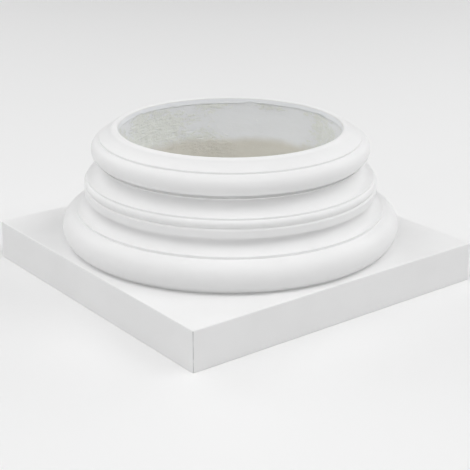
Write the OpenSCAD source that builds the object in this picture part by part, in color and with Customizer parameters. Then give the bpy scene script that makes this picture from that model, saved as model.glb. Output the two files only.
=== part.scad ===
// Column base: a low square plinth and a stack of round mouldings, cast in one piece
// around a straight round opening that takes the foot of a column shaft.
// Millimetres, +Z up, origin at the middle of the underside.
// Radii grow outwards from the opening, and heights stack upwards from the plinth.

/* [Opening and rim] */
// Diameter of the straight opening through the whole base
bore_d = 257; // [180:1:400]
// Width of the flat rim on top, around the opening
rim_w = 8.5; // [4:0.5:20]

/* [Plinth] */
// Height of the square plinth
plinth_h = 46; // [20:1:90]
// How far each side of the plinth stands out past the lower roll
plinth_margin = 2.5; // [0:0.5:40]
// Radius of the plinth's upper and upright edges
plinth_edge_r = 1.5; // [0.5:0.1:6]

/* [Lower roll] */
// Radius of the lower roll's round section
lower_roll_r = 18.2; // [10:0.1:30]
// How far the lower roll's section is sunk into the plinth
lower_roll_sink = 1.1; // [0.2:0.1:3]

/* [Lower hollow] */
// Height of the small upright step under the lower hollow's lip
lower_step_h = 3; // [0.5:0.1:6]
// How far the lip stands out past the middle of the lower roll's section
lower_step_out = 0.6; // [0:0.1:4]
// Radius of the lower hollow's long curve, which is also its depth
lower_hollow_r = 14.5; // [8:0.5:24]
// Radius of the short curve that turns the hollow back out under the band
lower_return_r = 2.2; // [1:0.1:5]

/* [Band and bead] */
// How far the band stands out past the deepest line of the lower hollow
band_out = 5; // [5:0.1:14]
// Height of the flat band
band_h = 10; // [6:0.5:20]
// Radius of the band's upper edge
band_edge_r = 2.4; // [0.5:0.1:4]
// Radius of the bead's round section
bead_r = 4.7; // [2:0.1:7]
// How far the bead and the upper roll are sunk into what lies under them
seat_sink = 0.3; // [0.1:0.1:1]

/* [Upper hollow] */
// How far the upper hollow's lip stands back from the outside of the bead
upper_lip_back = 3.4; // [1:0.1:4]
// Height of the small upright step under the upper hollow's lip
upper_step_h = 2.1; // [0.5:0.1:6]
// Radius of the upper hollow's curve, which is also its depth
upper_hollow_r = 17.3; // [8:0.1:24]
// Height of the small flat collar under the upper roll
collar_h = 2.4; // [1:0.1:8]
// How far the collar stands out past the deepest line of the upper hollow
collar_out = 5.3; // [0.5:0.1:8]

/* [Upper roll and flare] */
// Radius of the upper roll's round section
upper_roll_r = 11.9; // [8:0.1:20]
// Height of the rim above the top of the upper roll
rim_rise = 12.5; // [6:0.1:20]
// How far the flare runs out from the rim to its foot on the upper roll
flare_run = 14.3; // [8:0.1:20]
// How far the flare's foot stands out past the middle of the upper roll's section
flare_foot_out = 1.8; // [0:0.1:5]
// Height of the small upright step under the flare's foot
flare_step_h = 2.2; // [0.5:0.1:4]
// Radius of the flare's hollow curve
flare_curve_r = 25; // [20:1:90]
// How far the collar stands out past the middle of the upper roll's section
collar_past_roll = 5.5; // [0:0.1:8]

/* [Hidden] */
$fn = 180;
// How far a cutting shape runs past what it cuts
overrun = 1;

// Radii, from the opening outwards
bore_r = bore_d / 2;
rim_r = bore_r + rim_w;
flare_foot_r = rim_r + flare_run;
upper_roll_cr = flare_foot_r - flare_foot_out;
collar_r = upper_roll_cr + collar_past_roll;
upper_neck_r = collar_r - collar_out;
upper_lip_r = upper_neck_r + upper_hollow_r;
band_r = upper_lip_r + upper_lip_back;
bead_cr = band_r - bead_r;
lower_neck_r = band_r - band_out;
lower_lip_r = lower_neck_r + lower_hollow_r;
lower_roll_cr = lower_lip_r - lower_step_out;
plinth_w = 2 * (lower_roll_cr + lower_roll_r + plinth_margin);

// Heights, from the plinth upwards
lower_roll_z = plinth_h - lower_roll_sink + lower_roll_r;
lower_lip_z = lower_roll_z + lower_roll_r + lower_step_h;
lower_turn_z = lower_lip_z + lower_hollow_r;
band_z = lower_turn_z + lower_return_r;
bead_z = band_z + band_h - seat_sink + bead_r;
upper_lip_z = bead_z + bead_r + upper_step_h;
collar_z = upper_lip_z + upper_hollow_r;
upper_roll_z = collar_z + collar_h - seat_sink + upper_roll_r;
flare_foot_z = upper_roll_z + sqrt(pow(upper_roll_r, 2) - pow(flare_foot_out, 2)) + flare_step_h;
base_h = upper_roll_z + upper_roll_r + rim_rise;

// The flare's centre stands off the middle of the line from its foot to the rim
flare_line = [rim_r - flare_foot_r, base_h - flare_foot_z];
flare_off = sqrt(pow(flare_curve_r, 2) - pow(norm(flare_line) / 2, 2)) / norm(flare_line);
flare_centre = [
    (rim_r + flare_foot_r) / 2 + flare_line[1] * flare_off,
    (base_h + flare_foot_z) / 2 - flare_line[0] * flare_off
];

// A solid band of the outline, from the axis out to radius r
module drum(r, z_low, z_high)
    translate([0, z_low])
        square([r, z_high - z_low]);

// The round section of a roll or bead
module roll(r_centre, z_centre, r)
    translate([r_centre, z_centre])
        circle(r);

// A roll with the drum that carries it
module roll_course(r_centre, z_centre, r) {
    drum(r_centre, z_centre - r, z_centre + r);
    roll(r_centre, z_centre, r);
}

// The lower hollow, with the step under its lip and the return under the band
module lower_hollow() {
    turn_cr = lower_neck_r + lower_return_r;
    difference() {
        drum(lower_lip_r, lower_roll_z, band_z);
        translate([lower_lip_r, lower_turn_z])
            circle(lower_hollow_r);
        translate([turn_cr, lower_turn_z])
            square([lower_hollow_r, lower_return_r + overrun]);
        translate([turn_cr, lower_turn_z])
            circle(lower_return_r);
    }
    // Fills the long curve's circle back above its turning line
    difference() {
        drum(turn_cr, lower_turn_z, band_z);
        translate([turn_cr, lower_turn_z])
            circle(lower_return_r);
    }
}

// The flat band with its rounded upper edge
module band() {
    z_high = band_z + band_h;
    drum(band_r, band_z, z_high - band_edge_r);
    drum(band_r - band_edge_r, band_z, z_high);
    roll(band_r - band_edge_r, z_high - band_edge_r, band_edge_r);
}

// The upper hollow, with the step under its lip
module upper_hollow()
    difference() {
        drum(upper_lip_r, bead_z, collar_z);
        translate([upper_lip_r, collar_z])
            circle(upper_hollow_r);
    }

// The flare that runs in from the step on the upper roll to the rim
module flare()
    difference() {
        drum(flare_foot_r, upper_roll_z, base_h);
        translate(flare_centre)
            circle(flare_curve_r);
    }

// Half of the moulded stack's section, from the axis outwards
module stack_outline() {
    roll_course(lower_roll_cr, lower_roll_z, lower_roll_r);
    lower_hollow();
    band();
    roll_course(bead_cr, bead_z, bead_r);
    upper_hollow();
    drum(collar_r, collar_z, collar_z + collar_h);
    roll_course(upper_roll_cr, upper_roll_z, upper_roll_r);
    flare();
}

// The square plinth, with its upper and upright edges rounded and its underside sharp
module plinth() {
    inner_w = plinth_w - 2 * plinth_edge_r;
    body_h = plinth_h - plinth_edge_r;
    half = inner_w / 2;
    translate([-half, -plinth_w / 2, 0])
        cube([inner_w, plinth_w, body_h]);
    translate([-plinth_w / 2, -half, 0])
        cube([plinth_w, inner_w, body_h]);
    translate([-half, -half, 0])
        cube([inner_w, inner_w, plinth_h]);
    for (x = [-half, half], y = [-half, half])
        translate([x, y, 0]) {
            cylinder(h = body_h, r = plinth_edge_r);
            translate([0, 0, body_h])
                sphere(plinth_edge_r);
        }
    for (side = [0 : 3])
        rotate([0, 0, 90 * side])
            translate([half, -half, body_h])
                rotate([-90, 0, 0])
                    cylinder(h = inner_w, r = plinth_edge_r);
}

// The whole casting
module column_base()
    color("white")
        difference() {
            union() {
                plinth();
                rotate_extrude()
                    stack_outline();
            }
            translate([0, 0, -overrun])
                cylinder(h = base_h + 2 * overrun, r = bore_r);
        }

column_base();
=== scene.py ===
"""Looks of the column base: one white casting, primed outside and left raw inside its opening.

Metres, in the part's own frame: +Z up, origin at the middle of the underside. The casting is one
closed mesh of rings and columns. Its outline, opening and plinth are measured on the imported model.
"""

import math

import bpy
import numpy as np
from mathutils import Matrix, Vector, noise


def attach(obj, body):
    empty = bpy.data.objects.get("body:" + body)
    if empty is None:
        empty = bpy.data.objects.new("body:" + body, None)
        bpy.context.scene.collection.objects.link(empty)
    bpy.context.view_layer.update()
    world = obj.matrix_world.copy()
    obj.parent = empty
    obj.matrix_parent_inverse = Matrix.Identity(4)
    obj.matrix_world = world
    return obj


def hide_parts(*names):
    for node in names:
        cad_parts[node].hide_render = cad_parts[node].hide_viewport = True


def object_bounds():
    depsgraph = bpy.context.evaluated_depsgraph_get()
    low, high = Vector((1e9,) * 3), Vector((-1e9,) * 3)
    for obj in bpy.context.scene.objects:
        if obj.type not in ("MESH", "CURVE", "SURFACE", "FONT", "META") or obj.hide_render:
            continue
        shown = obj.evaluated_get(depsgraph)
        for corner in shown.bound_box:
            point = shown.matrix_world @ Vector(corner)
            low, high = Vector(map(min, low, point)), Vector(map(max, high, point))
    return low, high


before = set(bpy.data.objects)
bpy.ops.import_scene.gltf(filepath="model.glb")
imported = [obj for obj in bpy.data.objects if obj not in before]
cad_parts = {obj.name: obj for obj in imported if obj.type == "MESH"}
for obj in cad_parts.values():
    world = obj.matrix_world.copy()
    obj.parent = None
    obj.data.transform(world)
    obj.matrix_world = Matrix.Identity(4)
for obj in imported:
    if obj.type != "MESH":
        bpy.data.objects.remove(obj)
cad_low, cad_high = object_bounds()

MM = 0.001
SAME_PLACE = 0.01 * MM
UP = Vector((0, 0, 1))
QUARTER_TURN = math.pi / 2

# Mesh columns: column 0 runs down the middle of the plinth's front upright edge
SIDE_STEPS = 82
CORNER_STEPS = 8
COLUMNS = 4 * (SIDE_STEPS + CORNER_STEPS)
FRONT_EDGE = math.radians(-135)
ANGLES = FRONT_EDGE + 2 * math.pi * np.arange(COLUMNS) / COLUMNS

# Outline: a turn sharper than a crease is eased, and one sharper than a crevice is eased further
# and partly filled. A run longer than a straight gets a guard point beside each of its ends, and
# points closer than merged become one.
CREASE = math.radians(12)
CREVICE = math.radians(120)
STRAIGHT = 3.5 * MM
MERGED = 0.3 * MM
GUARD = 0.8 * MM
EASED = 0.3 * MM
CREVICE_EASED = 2.3 * MM
CREVICE_FILL = 0.5
RIM_EASED = 2.4 * MM
CONTACT_EASED = 5.0 * MM
# An easing may always take this share of the room to the next crease
ROOM_SHARE = 0.45
# Old points are cleared as far as this many reaches to both sides of a crease
CLEARED = 1.15
# The outline runs out over this share of the plinth's top, from the lower roll to the nearest edge
CONTACT_SHARE = 0.8

# Plinth: where its rings lie along its top, sides and underside, and how round its upper edge is
TOP_SHARES = (0.03, 0.12, 0.3, 0.5, 0.7, 0.88, 0.97, 1)
SIDE_SHARES = (0.04, 0.3, 0.6, 0.97, 1)
UNDER_SHARES = (0, 0.03, 0.25, 0.5, 0.75, 0.97, 1)
TOP_ROUND_SHARE = 0.8
TOP_ROUND_STEPS = 4
FOOT_EDGE = 0.3 * MM

# Places of the materials on the casting
OUTER, RAW, UNDER = 0, 1, 2

# Inside the opening: the coat over the rim ends in a ragged lip, with the raw wall under it
LIP_RINGS = 5
LIP_ROUND = 1.9 * MM
LIP_ROUND_STEPS = 5
LIP_LEAN = 1.1 * MM
LIP_DEPTH = 6.6 * MM
COAT_LEAST = 0.05 * MM
COAT_MEAN = 0.10 * MM
WALL_RINGS = 68
UNDER_LIP_RINGS = 10
UNDER_LIP_SPAN = 9 * MM
UNDER_LIP_CROWDING = 1.5
LIP_GAP = 0.12 * MM
FOOT_EASED = 1.2 * MM

# Layers of relief: (how high, how large its lumps are, how many octaves)
LIP_SWAY = (2.2 * MM, 45 * MM, 2)
LIP_RAGGED = (1.1 * MM, 9 * MM, 3)
COAT_WAVES = (COAT_MEAN, 20 * MM, 2)
WALL_WAVES = (0.22 * MM, 60 * MM, 2)
WALL_RUNS = (0.20 * MM, 24 * MM, 3)
WALL_LUMPS = (0.50 * MM, 9 * MM, 3)
WALL_PITS = (1.8 * MM, 8 * MM, 2)
RECESS_MEAN = 0.42 * MM
RECESS_LEAST = 0.10 * MM
# Pits are sunk only where their noise, out of 1, is over this
PIT_SHARE = 0.34
# Runs are this much longer round the wall than they are high
RUN_STRETCH = 3.2
# Layers of one kind of noise are taken this far apart, so that they don't repeat each other
PITS_APART = Vector((5, 0, 0))
OPEN_APART = Vector((3, 1, 2))

# Openness of the raw wall, from 0 on its smooth skin to 1 where it is open and pitted
OPEN_MEAN = 0.38
OPEN_SPREAD = (0.55, 42 * MM, 4)
# Its patches are this much longer round the wall than they are high
OPEN_STRETCH = 1.6
# Smooth and open stretches, listed: (angle in degrees, share of the height, reach in
# degrees, reach as a share of the height, how much more open)
WALL_PATCHES = (
    (32, 0.82, 30, 0.16, -1.0),
    (105, 0.84, 26, 0.12, 0.7),
    (75, 0.72, 20, 0.07, 0.4),
    (-5, 0.84, 14, 0.14, 0.6),
    (60, 0.95, 12, 0.03, 0.7),
    (22, 0.94, 20, 0.025, 0.8),
    (150, 0.80, 20, 0.20, 0.3),
)
# They fade out at this many reaches from their middle
PATCH_FADE = 1.5

# The photograph's view, fitted to the edges of the plinth and the mouldings
CAMERA_PLACE = Vector((-2.0603, -2.6749, 1.3635))  # in widths of the plinth
CAMERA_HEADING, CAMERA_PITCH, CAMERA_ROLL = 52.159, -20.447, 0.166  # degrees
CAMERA_LENS = 92.4
CAMERA_NEAR, CAMERA_FAR = 0.05, 50

# Square soft boxes round the part: (azimuth and elevation in degrees, power in watts)
LIGHTS = {
    "front_top": (-127.6, 64, 24),
    "left_low": (-172.6, 25, 26),
    "left_high": (-172.6, 66, 28),
    "right_front_low": (-82.6, 25, 11),
    "right_front": (-82.6, 55, 28),
    "right": (-37.6, 45, 49),
    "back_left_side": (142.4, 48, 30),
    "back_left_low": (97.4, 29, 38),
    "back_right_low": (7.4, 25, 35),
}
LIGHT_DISTANCE = 4.0
LIGHT_SIZE = 2.4
WORLD_STRENGTH = 0.01
FLOOR_REACH = 14


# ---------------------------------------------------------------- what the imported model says

def node_points(name):
    """All the vertices of a CAD node."""
    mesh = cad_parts[name].data
    points = np.empty(len(mesh.vertices) * 3)
    mesh.vertices.foreach_get("co", points)
    return points.reshape(-1, 3)


def plinth_top(points, half_width):
    """Height of the plinth: the highest point outside the circle that the plinth's sides touch."""
    outside = np.hypot(points[:, 0], points[:, 1]) > half_width + SAME_PLACE
    return points[outside, 2].max()


def plinth_edge_radius(points, half_width):
    """Radius of the upright edges: what is left of a side past its flat stretch."""
    on_side = points[:, 1] > half_width - SAME_PLACE
    return half_width - points[on_side, 0].max()


def stack_outline(points, above):
    """The moulded stack's section, as (radius, height), from the opening down to the plinth."""
    on_seam = (abs(points[:, 1]) < SAME_PLACE) & (points[:, 0] > 0) & (points[:, 2] > above - SAME_PLACE)
    section = np.unique(np.round(points[on_seam][:, [0, 2]], 6), axis=0)
    inside_the_side = section[:, 0] < cad_high.x - MM
    section = section[inside_the_side]
    left = sorted(map(tuple, section), key=lambda point: (-point[1], point[0]))
    walked = [left.pop(0)]
    while left:
        level = [point for point in left if point[1] > left[0][1] - SAME_PLACE]
        nearest = min(level, key=lambda point: abs(point[0] - walked[-1][0]))
        left.remove(nearest)
        if math.dist(nearest, walked[-1]) > MERGED:
            walked.append(nearest)
    return np.array(walked)


# ---------------------------------------------------------------- outline of the stack

def turn_between(before, after):
    """The angle between two directions in the section."""
    cross = before[0] * after[1] - before[1] * after[0]
    return abs(math.atan2(cross, before @ after))


def guarded(section):
    """The section with points beside the ends of its straights, and each crease's place and reach."""
    runs = np.diff(section, axis=0)
    points, creases, reaches = [section[0]], [], []
    for i, run in enumerate(runs):
        length = np.linalg.norm(run)
        if length > STRAIGHT:
            points += [section[i] + run * share for share in (GUARD / length, 1 - GUARD / length)]
        turn = turn_between(run, runs[i + 1]) if i + 1 < len(runs) else 0
        if turn > CREASE:
            creases.append(len(points))
            reaches.append(CREVICE_EASED if turn > CREVICE else EASED)
        points.append(section[i + 1])
    return np.array(points), creases, reaches


def eased(points, creases, reaches):
    """The outline with a small round in place of each crease, its reach to both sides of it."""
    along = np.concatenate([[0], np.cumsum(np.linalg.norm(np.diff(points, axis=0), axis=1))])

    def at(distance):
        return np.array([np.interp(distance, along, points[:, k]) for k in (0, 1)])

    stops = [0, *along[creases], along[-1]]
    made = dict(zip(along, points))
    for k, (place, reach) in enumerate(zip(creases, reaches), start=1):
        here = stops[k]
        room = min(here - stops[k - 1], stops[k + 1] - here)
        reach = min(reach, max(ROOM_SHARE * room, room - 2 * EASED))
        start, middle, end = at(here - reach), points[place], at(here + reach)
        if reach > CREVICE_EASED / 2:
            middle = middle + CREVICE_FILL * ((start + end) / 2 - middle)
        made = {
            distance: point for distance, point in made.items()
            if abs(distance - here) > CLEARED * reach
        }
        steps = 2 if reach < MM else 4 if reach < CREVICE_EASED + MM else 6
        for step in range(steps + 1):
            t = step / steps
            curve = (1 - t) ** 2 * start + 2 * t * (1 - t) * middle + t * t * end
            made[here + reach * (2 * t - 1)] = curve
    return np.array([made[distance] for distance in sorted(made)])


# ---------------------------------------------------------------- rings

def round_ring(radius, height):
    """One point in each column, at a radius and a height that may differ from column to column."""
    ring = np.empty((COLUMNS, 3))
    ring[:, 0] = radius * np.cos(ANGLES)
    ring[:, 1] = radius * np.sin(ANGLES)
    ring[:, 2] = height
    return ring


def square_ring(half_inner, out, height):
    """A square with half width half_inner, grown by out with round corners."""
    points = []
    for quarter in range(4):
        middle = FRONT_EDGE + quarter * QUARTER_TURN
        corner = half_inner * math.sqrt(2) * np.array([math.cos(middle), math.sin(middle)])
        for step in range(CORNER_STEPS + 1):
            facing = middle + (step / CORNER_STEPS - 0.5) * QUARTER_TURN
            points.append(corner + out * np.array([math.cos(facing), math.sin(facing)]))
        along = np.array([-math.sin(facing), math.cos(facing)]) * 2 * half_inner
        points += [points[-1] + along * step / SIDE_STEPS for step in range(1, SIDE_STEPS)]
    flat = np.roll(np.array(points), -(CORNER_STEPS // 2), axis=0)
    return np.column_stack([flat, np.full(COLUMNS, height)])


def rings_between(ring_a, ring_b, shares):
    """Rings at the given shares of the way from one ring to another."""
    return [ring_a + (ring_b - ring_a) * share for share in shares]


# ---------------------------------------------------------------- relief inside the opening

def on_wall(angle, bore_r, height):
    """A point on the clear opening."""
    return Vector((math.cos(angle), math.sin(angle), 0)) * bore_r + UP * height


def relief(place, layer):
    """Layered noise, from about minus to plus the layer's height."""
    high, size, octaves = layer
    roll_off, finer = 0.9, 2.1
    return high * noise.fractal(place / size, roll_off, finer, octaves, noise_basis="PERLIN_ORIGINAL")


def step_up(share):
    """From 0 to 1 with soft ends."""
    share = min(max(share, 0), 1)
    return share * share * (3 - 2 * share)


def lip_edge(angle, bore_r, top):
    """Height of the ragged edge where the rim's smooth coat ends."""
    place = on_wall(angle, bore_r, 0)
    return top - LIP_DEPTH - relief(place, LIP_SWAY) - relief(place + UP, LIP_RAGGED)


def wall_openness(angle, bore_r, height):
    """From 0 on the smooth skin to 1 where the raw casting is open and pitted."""
    place = on_wall(angle, bore_r, height * OPEN_STRETCH)
    amount = OPEN_MEAN + relief(place + OPEN_APART, OPEN_SPREAD)
    for centre, level, reach, rise, more_open in WALL_PATCHES:
        turn = (math.degrees(angle) - centre + 180) % 360 - 180
        away = math.hypot(turn / reach, (height / cad_high.z - level) / rise)
        amount += more_open * step_up(1 - away / PATCH_FADE)
    return min(max(amount, 0), 1)


def wall_recess(angle, bore_r, height, openness):
    """How far the raw wall lies behind the opening's clear radius."""
    place = on_wall(angle, bore_r, height)
    squeezed = Vector((place.x, place.y, place.z * RUN_STRETCH))
    smooth = relief(place, WALL_WAVES) + relief(squeezed + UP, WALL_RUNS)
    pits = relief(place + PITS_APART, WALL_PITS) - PIT_SHARE * WALL_PITS[0]
    rough = openness * (relief(place, WALL_LUMPS) + max(0.0, pits))
    return max(RECESS_LEAST, RECESS_MEAN + smooth + rough)


def wall_levels(edge):
    """Heights of the raw wall's rings, crowded together just under the coat's edge."""
    low, high = FOOT_EASED, edge - UNDER_LIP_SPAN
    levels = [low + (high - low) * share for share in np.linspace(0, 1, WALL_RINGS)]
    for step in range(UNDER_LIP_RINGS - 1, 0, -1):
        below = (step / UNDER_LIP_RINGS) ** UNDER_LIP_CROWDING * UNDER_LIP_SPAN
        levels.append(edge - below)
    return [*levels, edge - LIP_GAP]


def raw_wall_rings(bore_r, edge):
    """Rings up the raw wall, with each point's openness and its depth below the coat's edge."""
    rings, openness, below_coat = [], [], []
    for heights in wall_levels(edge):
        here = [wall_openness(angle, bore_r, height) for angle, height in zip(ANGLES, heights)]
        recess = [wall_recess(angle, bore_r, *each) for angle, *each in zip(ANGLES, heights, here)]
        rings.append(round_ring(bore_r + np.array(recess), heights))
        openness.append(here)
        below_coat.append(edge - heights)
    return rings, openness, below_coat


def lip_rings(bore_r, edge, top):
    """Rings up the coated lip, leaning back towards the rim, with each point's depth below its edge."""
    far_up = 4 * bore_r
    coat = COAT_MEAN + np.array([relief(on_wall(angle, bore_r, far_up), COAT_WAVES) for angle in ANGLES])
    rings, below_coat = [], []
    for step in range(LIP_RINGS):
        share = step / LIP_RINGS
        heights = edge + (top - LIP_ROUND - edge) * share
        rings.append(round_ring(bore_r + COAT_LEAST + coat * (1 - share) + LIP_LEAN * share, heights))
        below_coat.append(edge - heights)
    return rings, below_coat


# ---------------------------------------------------------------- the casting's mesh

def placed(name, data):
    """A new object in the scene."""
    made = bpy.data.objects.new(name, data)
    bpy.context.scene.collection.objects.link(made)
    return made


def rim_edge_rings(bore_r, top):
    """Rings round the rim's inner edge."""
    rings = []
    for step in range(LIP_ROUND_STEPS + 1):
        turn = step / LIP_ROUND_STEPS * QUARTER_TURN
        radius = bore_r + LIP_LEAN + LIP_ROUND * (1 - math.cos(turn))
        rings.append(round_ring(radius, top - LIP_ROUND * (1 - math.sin(turn))))
    return rings


def stack_rings(section, flat_top, room):
    """Rings down over the mouldings, and the last one, which runs out over the room on the plinth."""
    bore_r, top = section[0]
    run_out = [section[-1, 0] + CONTACT_SHARE * room, flat_top]
    points, creases, reaches = guarded(np.vstack([section, run_out]))
    reaches[0], reaches[-1] = RIM_EASED, CONTACT_EASED
    outline = eased(points, creases, reaches)
    rounded_to = bore_r + LIP_LEAN + LIP_ROUND
    rings = [round_ring(r, z) for r, z in outline[1:-1] if r > rounded_to + EASED or z < top]
    return rings, round_ring(*outline[-1])


def plinth_rings(run_out, half_inner, edge_r, flat_top):
    """Rings out over the plinth's top, round its upper edge and down its sides."""
    round_top = TOP_ROUND_SHARE * edge_r
    rings = rings_between(run_out, square_ring(half_inner, edge_r - round_top, flat_top), TOP_SHARES)
    for step in range(1, TOP_ROUND_STEPS + 1):
        turn = step / TOP_ROUND_STEPS * QUARTER_TURN
        out = edge_r - round_top * (1 - math.sin(turn))
        rings.append(square_ring(half_inner, out, flat_top - round_top * (1 - math.cos(turn))))
    side_foot = square_ring(half_inner, edge_r, FOOT_EDGE)
    return rings + rings_between(rings[-1], side_foot, SIDE_SHARES)


def quads_between(count):
    """The faces that join each ring to the next one, and the last ring to the first."""
    columns = np.arange(COLUMNS)
    following = (columns + 1) % COLUMNS
    quads = []
    for ring in range(count):
        here, there = ring * COLUMNS, (ring + 1) % count * COLUMNS
        corners = (here + columns, there + columns, there + following, here + following)
        quads.append(np.column_stack(corners))
    return np.concatenate(quads)


def write_attribute(mesh, name, rings):
    """One number for each vertex of the first rings, and nought everywhere else."""
    values = np.zeros(len(mesh.vertices), np.float32)
    written = np.concatenate(rings)
    values[:len(written)] = written
    mesh.attributes.new(name, "FLOAT", "POINT").data.foreach_set("value", values)


def build_casting(materials):
    """The casting as one closed mesh, with its materials in the order outer, raw, under."""
    points = node_points("column_base")
    half = cad_high.x
    flat_top = plinth_top(points, half)
    edge_r = plinth_edge_radius(points, half)
    half_inner = half - edge_r
    section = stack_outline(points, flat_top)
    bore_r, top = section[0]

    edge = np.array([lip_edge(angle, bore_r, top) for angle in ANGLES])
    wall, openness, below_wall = raw_wall_rings(bore_r, edge)
    lip, below_lip = lip_rings(bore_r, edge, top)
    stack, run_out = stack_rings(section, flat_top, half_inner - section[-1, 0])
    plinth = plinth_rings(run_out, half_inner, edge_r, flat_top)
    under_edge = square_ring(half_inner, edge_r - FOOT_EDGE, 0)
    underneath = rings_between(under_edge, round_ring(bore_r + FOOT_EASED, 0), UNDER_SHARES)
    inside = wall + lip
    outside = rim_edge_rings(bore_r, top) + stack + plinth
    rings = inside + outside + underneath

    mesh = bpy.data.meshes.new("column_base_casting")
    mesh.from_pydata(np.concatenate(rings).tolist(), [], quads_between(len(rings)).tolist())
    faces = [len(part) * COLUMNS for part in (inside, outside, underneath)]
    slots = np.repeat((RAW, OUTER, UNDER), faces)
    for material in materials:
        mesh.materials.append(material)
    mesh.polygons.foreach_set("material_index", slots.astype(np.int32))
    mesh.polygons.foreach_set("use_smooth", np.ones(len(mesh.polygons), bool))
    write_attribute(mesh, "openness", openness)
    write_attribute(mesh, "below_coat", below_wall + below_lip)
    mesh.update()
    return placed("column_base_casting", mesh)


# ---------------------------------------------------------------- materials

def grey(value):
    return (value, value, value, 1)


PRIMER = (grey(0.885), grey(0.905))
# Darker grey along the plinth's upright corners
CORNER_DARK = grey(0.45)
SKIN = ((0.935, 0.955, 0.985, 1), (0.948, 0.963, 0.985, 1))
BARE = ((0.865, 0.895, 0.835, 1), (0.95, 0.965, 0.955, 1))
STREAK = (0.84, 0.87, 0.85, 1)
SPECK = (0.66, 0.69, 0.62, 1)
FOAM = ((0.745, 0.725, 0.655, 1), (0.815, 0.795, 0.735, 1))
# Painted shade: a darker grey just under the ragged edge of the coat inside the opening
UNDER_LIP_SHADE = (0.68, 0.70, 0.66, 1)
UNDERNEATH = ((0.62, 0.60, 0.52, 1), (0.72, 0.70, 0.62, 1))
FLOOR = grey(0.88)

# How far in from a plinth's side the darkening of its upright corners starts and is full
CORNER_DARK_START, CORNER_DARK_FULL = 0.85 * MM, 0.55 * MM
# Heights where the raw wall starts to turn into bare foam, and where it is all foam
FOAM_START, FOAM_FULL = 132 * MM, 118 * MM
FOAM_SWAY = 14 * MM
# The grain is at its faintest below this height
FAINT_GRAIN = 116 * MM
# How far below the coat's edge the painted shade line under it fades out, and where the coat begins and is
# full
SHADE_LINE_END, SHADE_LINE_FULL = 2.2 * MM, 0.2 * MM
COAT_START, COAT_FULL = 0.5 * MM, -0.3 * MM


class Shader:
    """A material's node tree, with short calls for the nodes used here."""

    def __init__(self, name):
        self.material = bpy.data.materials.new(name)
        self.material.use_nodes = True
        self.tree = self.material.node_tree
        self.surface = self.tree.nodes["Principled BSDF"]
        self.place = self.node("ShaderNodeTexCoord").outputs["Object"]

    def node(self, kind, **settings):
        made = self.tree.nodes.new(kind)
        for key, value in settings.items():
            setattr(made, key, value)
        return made

    def put(self, socket, value):
        """Link a socket to another one, or set its value."""
        if isinstance(value, bpy.types.NodeSocket):
            self.tree.links.new(value, socket)
        else:
            socket.default_value = value

    def noise(self, size, detail, roughness=0.5, squeeze=1):
        """Noise from 0 to 1 with lumps about size across, and squeezed in height."""
        mapping = self.node("ShaderNodeMapping")
        mapping.inputs["Scale"].default_value = (1, 1, squeeze)
        self.put(mapping.inputs["Vector"], self.place)
        made = self.node("ShaderNodeTexNoise")
        self.put(made.inputs["Vector"], mapping.outputs["Vector"])
        made.inputs["Scale"].default_value = 1 / size
        made.inputs["Detail"].default_value = detail
        made.inputs["Roughness"].default_value = roughness
        return made.outputs["Fac"]

    def ramp(self, value, start, end, first=0.0, last=1.0):
        """From first to last, softly, as the value goes from start to end."""
        made = self.node("ShaderNodeMapRange", interpolation_type="SMOOTHSTEP")
        settings = {"From Min": start, "From Max": end, "To Min": first, "To Max": last}
        for name, setting in settings.items():
            made.inputs[name].default_value = setting
        self.put(made.inputs["Value"], value)
        return made.outputs["Result"]

    def math(self, operation, a, b):
        made = self.node("ShaderNodeMath", operation=operation)
        self.put(made.inputs[0], a)
        self.put(made.inputs[1], b)
        return made.outputs[0]

    def add(self, a, b):
        return self.math("ADD", a, b)

    def times(self, a, b):
        return self.math("MULTIPLY", a, b)

    def centred(self, value):
        """Noise with its middle moved to 0, so that it bumps up as much as down."""
        return self.math("SUBTRACT", value, 0.5)

    def mix(self, share, a, b):
        made = self.node("ShaderNodeMix", data_type="RGBA")
        self.put(made.inputs["Factor"], share)
        self.put(made.inputs["A"], a)
        self.put(made.inputs["B"], b)
        return made.outputs["Result"]

    def attribute(self, name):
        return self.node("ShaderNodeAttribute", attribute_name=name).outputs["Fac"]

    def along(self, axis):
        split = self.node("ShaderNodeSeparateXYZ")
        self.put(split.inputs[0], self.place)
        return split.outputs[axis]

    def bump(self, height, distance):
        made = self.node("ShaderNodeBump")
        made.inputs["Strength"].default_value = 1
        made.inputs["Distance"].default_value = distance
        self.put(made.inputs["Height"], height)
        self.put(self.surface.inputs["Normal"], made.outputs["Normal"])

    def coated(self, colour, roughness, specular):
        """The material, with what its surface is made of."""
        self.put(self.surface.inputs["Base Color"], colour)
        self.put(self.surface.inputs["Roughness"], roughness)
        self.put(self.surface.inputs["Specular IOR Level"], specular)
        return self.material


def primer(half_width):
    """Sprayed white primer: satin, with a fine orange peel, faint clouds and darker upright corners."""
    shader = Shader("white_primer")
    clouds = shader.ramp(shader.noise(70 * MM, detail=3), 0.35, 0.65)
    x, y = (shader.math("ABSOLUTE", shader.along(axis), 0) for axis in "XY")
    in_corner = shader.math("MINIMUM", x, y)
    # The upright corners are darkened, in broken patches
    dark_corner = shader.ramp(in_corner, half_width - CORNER_DARK_START, half_width - CORNER_DARK_FULL)
    broken = shader.ramp(shader.noise(9 * MM, detail=4, roughness=0.6), 0.3, 0.6, 0.45, 1)
    colour = shader.mix(shader.times(dark_corner, broken), shader.mix(clouds, *PRIMER), CORNER_DARK)
    peel = shader.times(shader.noise(1.6 * MM, detail=2), 0.12)
    shader.bump(shader.add(peel, shader.noise(16 * MM, detail=2)), 0.12 * MM)
    satin = shader.ramp(shader.noise(25 * MM, detail=4), 0.3, 0.7, 0.50, 0.60)
    return shader.coated(colour, satin, specular=0.35)


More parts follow.
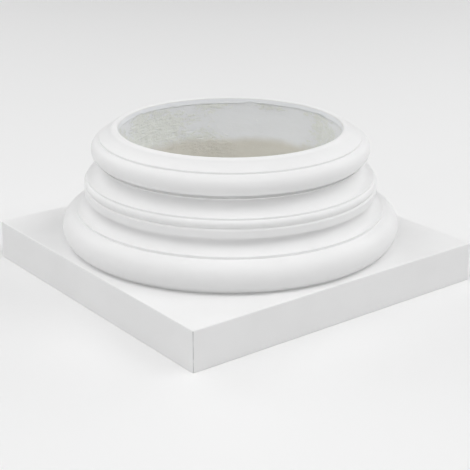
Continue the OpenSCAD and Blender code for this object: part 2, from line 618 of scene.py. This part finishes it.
def raw_wall():
    """The unprimed inside: a thin bluish skin over open, pitted, slightly olive casting, and foam below."""
    shader = Shader("raw_inside")

    # The casting shows through its skin in patches, more of it where the wall is more open
    patchy = shader.noise(7 * MM, detail=6, roughness=0.7, squeeze=2.2)
    shown = shader.ramp(shader.add(shader.times(shader.attribute("openness"), 0.34), patchy), 0.60, 0.80)
    skin = shader.mix(shader.noise(30 * MM, detail=3), *SKIN)
    bare = shader.mix(shader.noise(4 * MM, detail=5, roughness=0.6), *BARE)
    wall = shader.mix(shown, skin, bare)

    # Streaks round the wall, and dark specks in the open casting
    streaks = shader.noise(11 * MM, detail=4, roughness=0.6, squeeze=5)
    streaked = shader.times(shader.ramp(streaks, 0.48, 0.68), shader.ramp(shown, 0, 1, 0.12, 0.45))
    wall = shader.mix(streaked, wall, STREAK)
    specks = shader.noise(3.2 * MM, detail=3, roughness=0.6, squeeze=1.4)
    wall = shader.mix(shader.times(shader.ramp(specks, 0.60, 0.72, 0, 0.45), shown), wall, SPECK)

    # Bare foam low down
    sway = shader.times(shader.centred(shader.noise(40 * MM, detail=3)), FOAM_SWAY)
    level = shader.add(shader.along("Z"), sway)
    foam = shader.mix(shader.noise(12 * MM, detail=4), *FOAM)
    wall = shader.mix(shader.ramp(level, FOAM_START, FOAM_FULL), wall, foam)

    # The coat that came over the rim, and painted shade in a broken line under its edge
    below_coat = shader.attribute("below_coat")
    broken = shader.ramp(shader.noise(14 * MM, detail=4, roughness=0.6), 0.45, 0.65, 0, 0.22)
    lip_shade = shader.times(shader.ramp(below_coat, SHADE_LINE_END, SHADE_LINE_FULL), broken)
    wall = shader.mix(lip_shade, wall, UNDER_LIP_SHADE)
    wall = shader.mix(shader.ramp(below_coat, COAT_START, COAT_FULL), wall, SKIN[0])

    # Fine grain where the casting shows, ridges along the streaks, and a small step up from the skin
    depth = shader.times(
        shader.ramp(shown, 0, 1, 0.15, 1),
        shader.ramp(level, FAINT_GRAIN, FOAM_START, 0.35, 1),
    )
    grain = shader.times(shader.centred(shader.noise(2.4 * MM, detail=4, roughness=0.6)), depth)
    ridges = shader.times(shader.centred(streaks), shader.ramp(shown, 0, 1, 0.35, 1.5))
    step = shader.times(shown, 0.38)
    shader.bump(shader.add(grain, shader.add(ridges, step)), 0.75 * MM)
    return shader.coated(wall, shader.ramp(shown, 0, 1, 0.42, 0.78), specular=0.5)


def underside():
    """The hidden underside, levelled flat and left bare."""
    shader = Shader("bare_underside")
    patchy = shader.noise(22 * MM, detail=5, roughness=0.6)
    shader.bump(shader.noise(2 * MM, detail=4, roughness=0.6), 0.3 * MM)
    dull = shader.ramp(patchy, 0.3, 0.7, 0.75, 0.9)
    return shader.coated(shader.mix(patchy, *UNDERNEATH), dull, specular=0.3)


# ---------------------------------------------------------------- studio

def direction(azimuth, elevation):
    """The unit vector at an azimuth and an elevation in degrees."""
    a, e = math.radians(azimuth), math.radians(elevation)
    return Vector((math.cos(a) * math.cos(e), math.sin(a) * math.cos(e), math.sin(e)))


def make_camera():
    """The photograph's view, scaled by the plinth's width."""
    forward = direction(CAMERA_HEADING, CAMERA_PITCH)
    roll = math.radians(CAMERA_ROLL)
    level = forward.cross(UP).normalized()
    lift = level.cross(forward)
    right = level * math.cos(roll) + lift * math.sin(roll)
    axes = Matrix((right, right.cross(forward), -forward)).transposed().to_4x4()
    camera = placed("camera", bpy.data.cameras.new("camera"))
    camera.data.lens = CAMERA_LENS
    camera.data.clip_start, camera.data.clip_end = CAMERA_NEAR, CAMERA_FAR
    camera.matrix_world = Matrix.Translation(CAMERA_PLACE * (cad_high.x - cad_low.x)) @ axes
    bpy.context.scene.camera = camera


def make_lights():
    """Soft boxes round the part, all facing its middle."""
    middle = UP * (cad_high.z / 2)
    for name, (azimuth, elevation, power) in LIGHTS.items():
        lamp = bpy.data.lights.new(name, "AREA")
        lamp.shape = "SQUARE"
        lamp.size = LIGHT_SIZE
        lamp.energy = power
        away = direction(azimuth, elevation)
        made = placed(name, lamp)
        made.location = middle + away * LIGHT_DISTANCE
        made.rotation_euler = away.to_track_quat("Z", "Y").to_euler()


def make_world():
    """A faint even light from all round."""
    world = bpy.data.worlds.new("studio")
    world.use_nodes = True
    sky = world.node_tree.nodes["Background"]
    sky.inputs["Color"].default_value = grey(1)
    sky.inputs["Strength"].default_value = WORLD_STRENGTH
    bpy.context.scene.world = world


def make_floor():
    """A plain pale floor, large enough to fill the photograph's view."""
    mesh = bpy.data.meshes.new("floor")
    corners = [(x * FLOOR_REACH, y * FLOOR_REACH, 0) for x, y in ((-1, -1), (1, -1), (1, 1), (-1, 1))]
    mesh.from_pydata(corners, [], [(0, 1, 2, 3)])
    mesh.materials.append(Shader("floor_white").coated(FLOOR, roughness=0.9, specular=0.1))
    floor = placed("floor", mesh)


make_camera()
make_lights()
make_world()
make_floor()
bpy.context.scene.view_settings.view_transform = "Standard"

casting = build_casting((primer(cad_high.x), raw_wall(), underside()))
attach(casting, "root")
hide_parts("column_base")
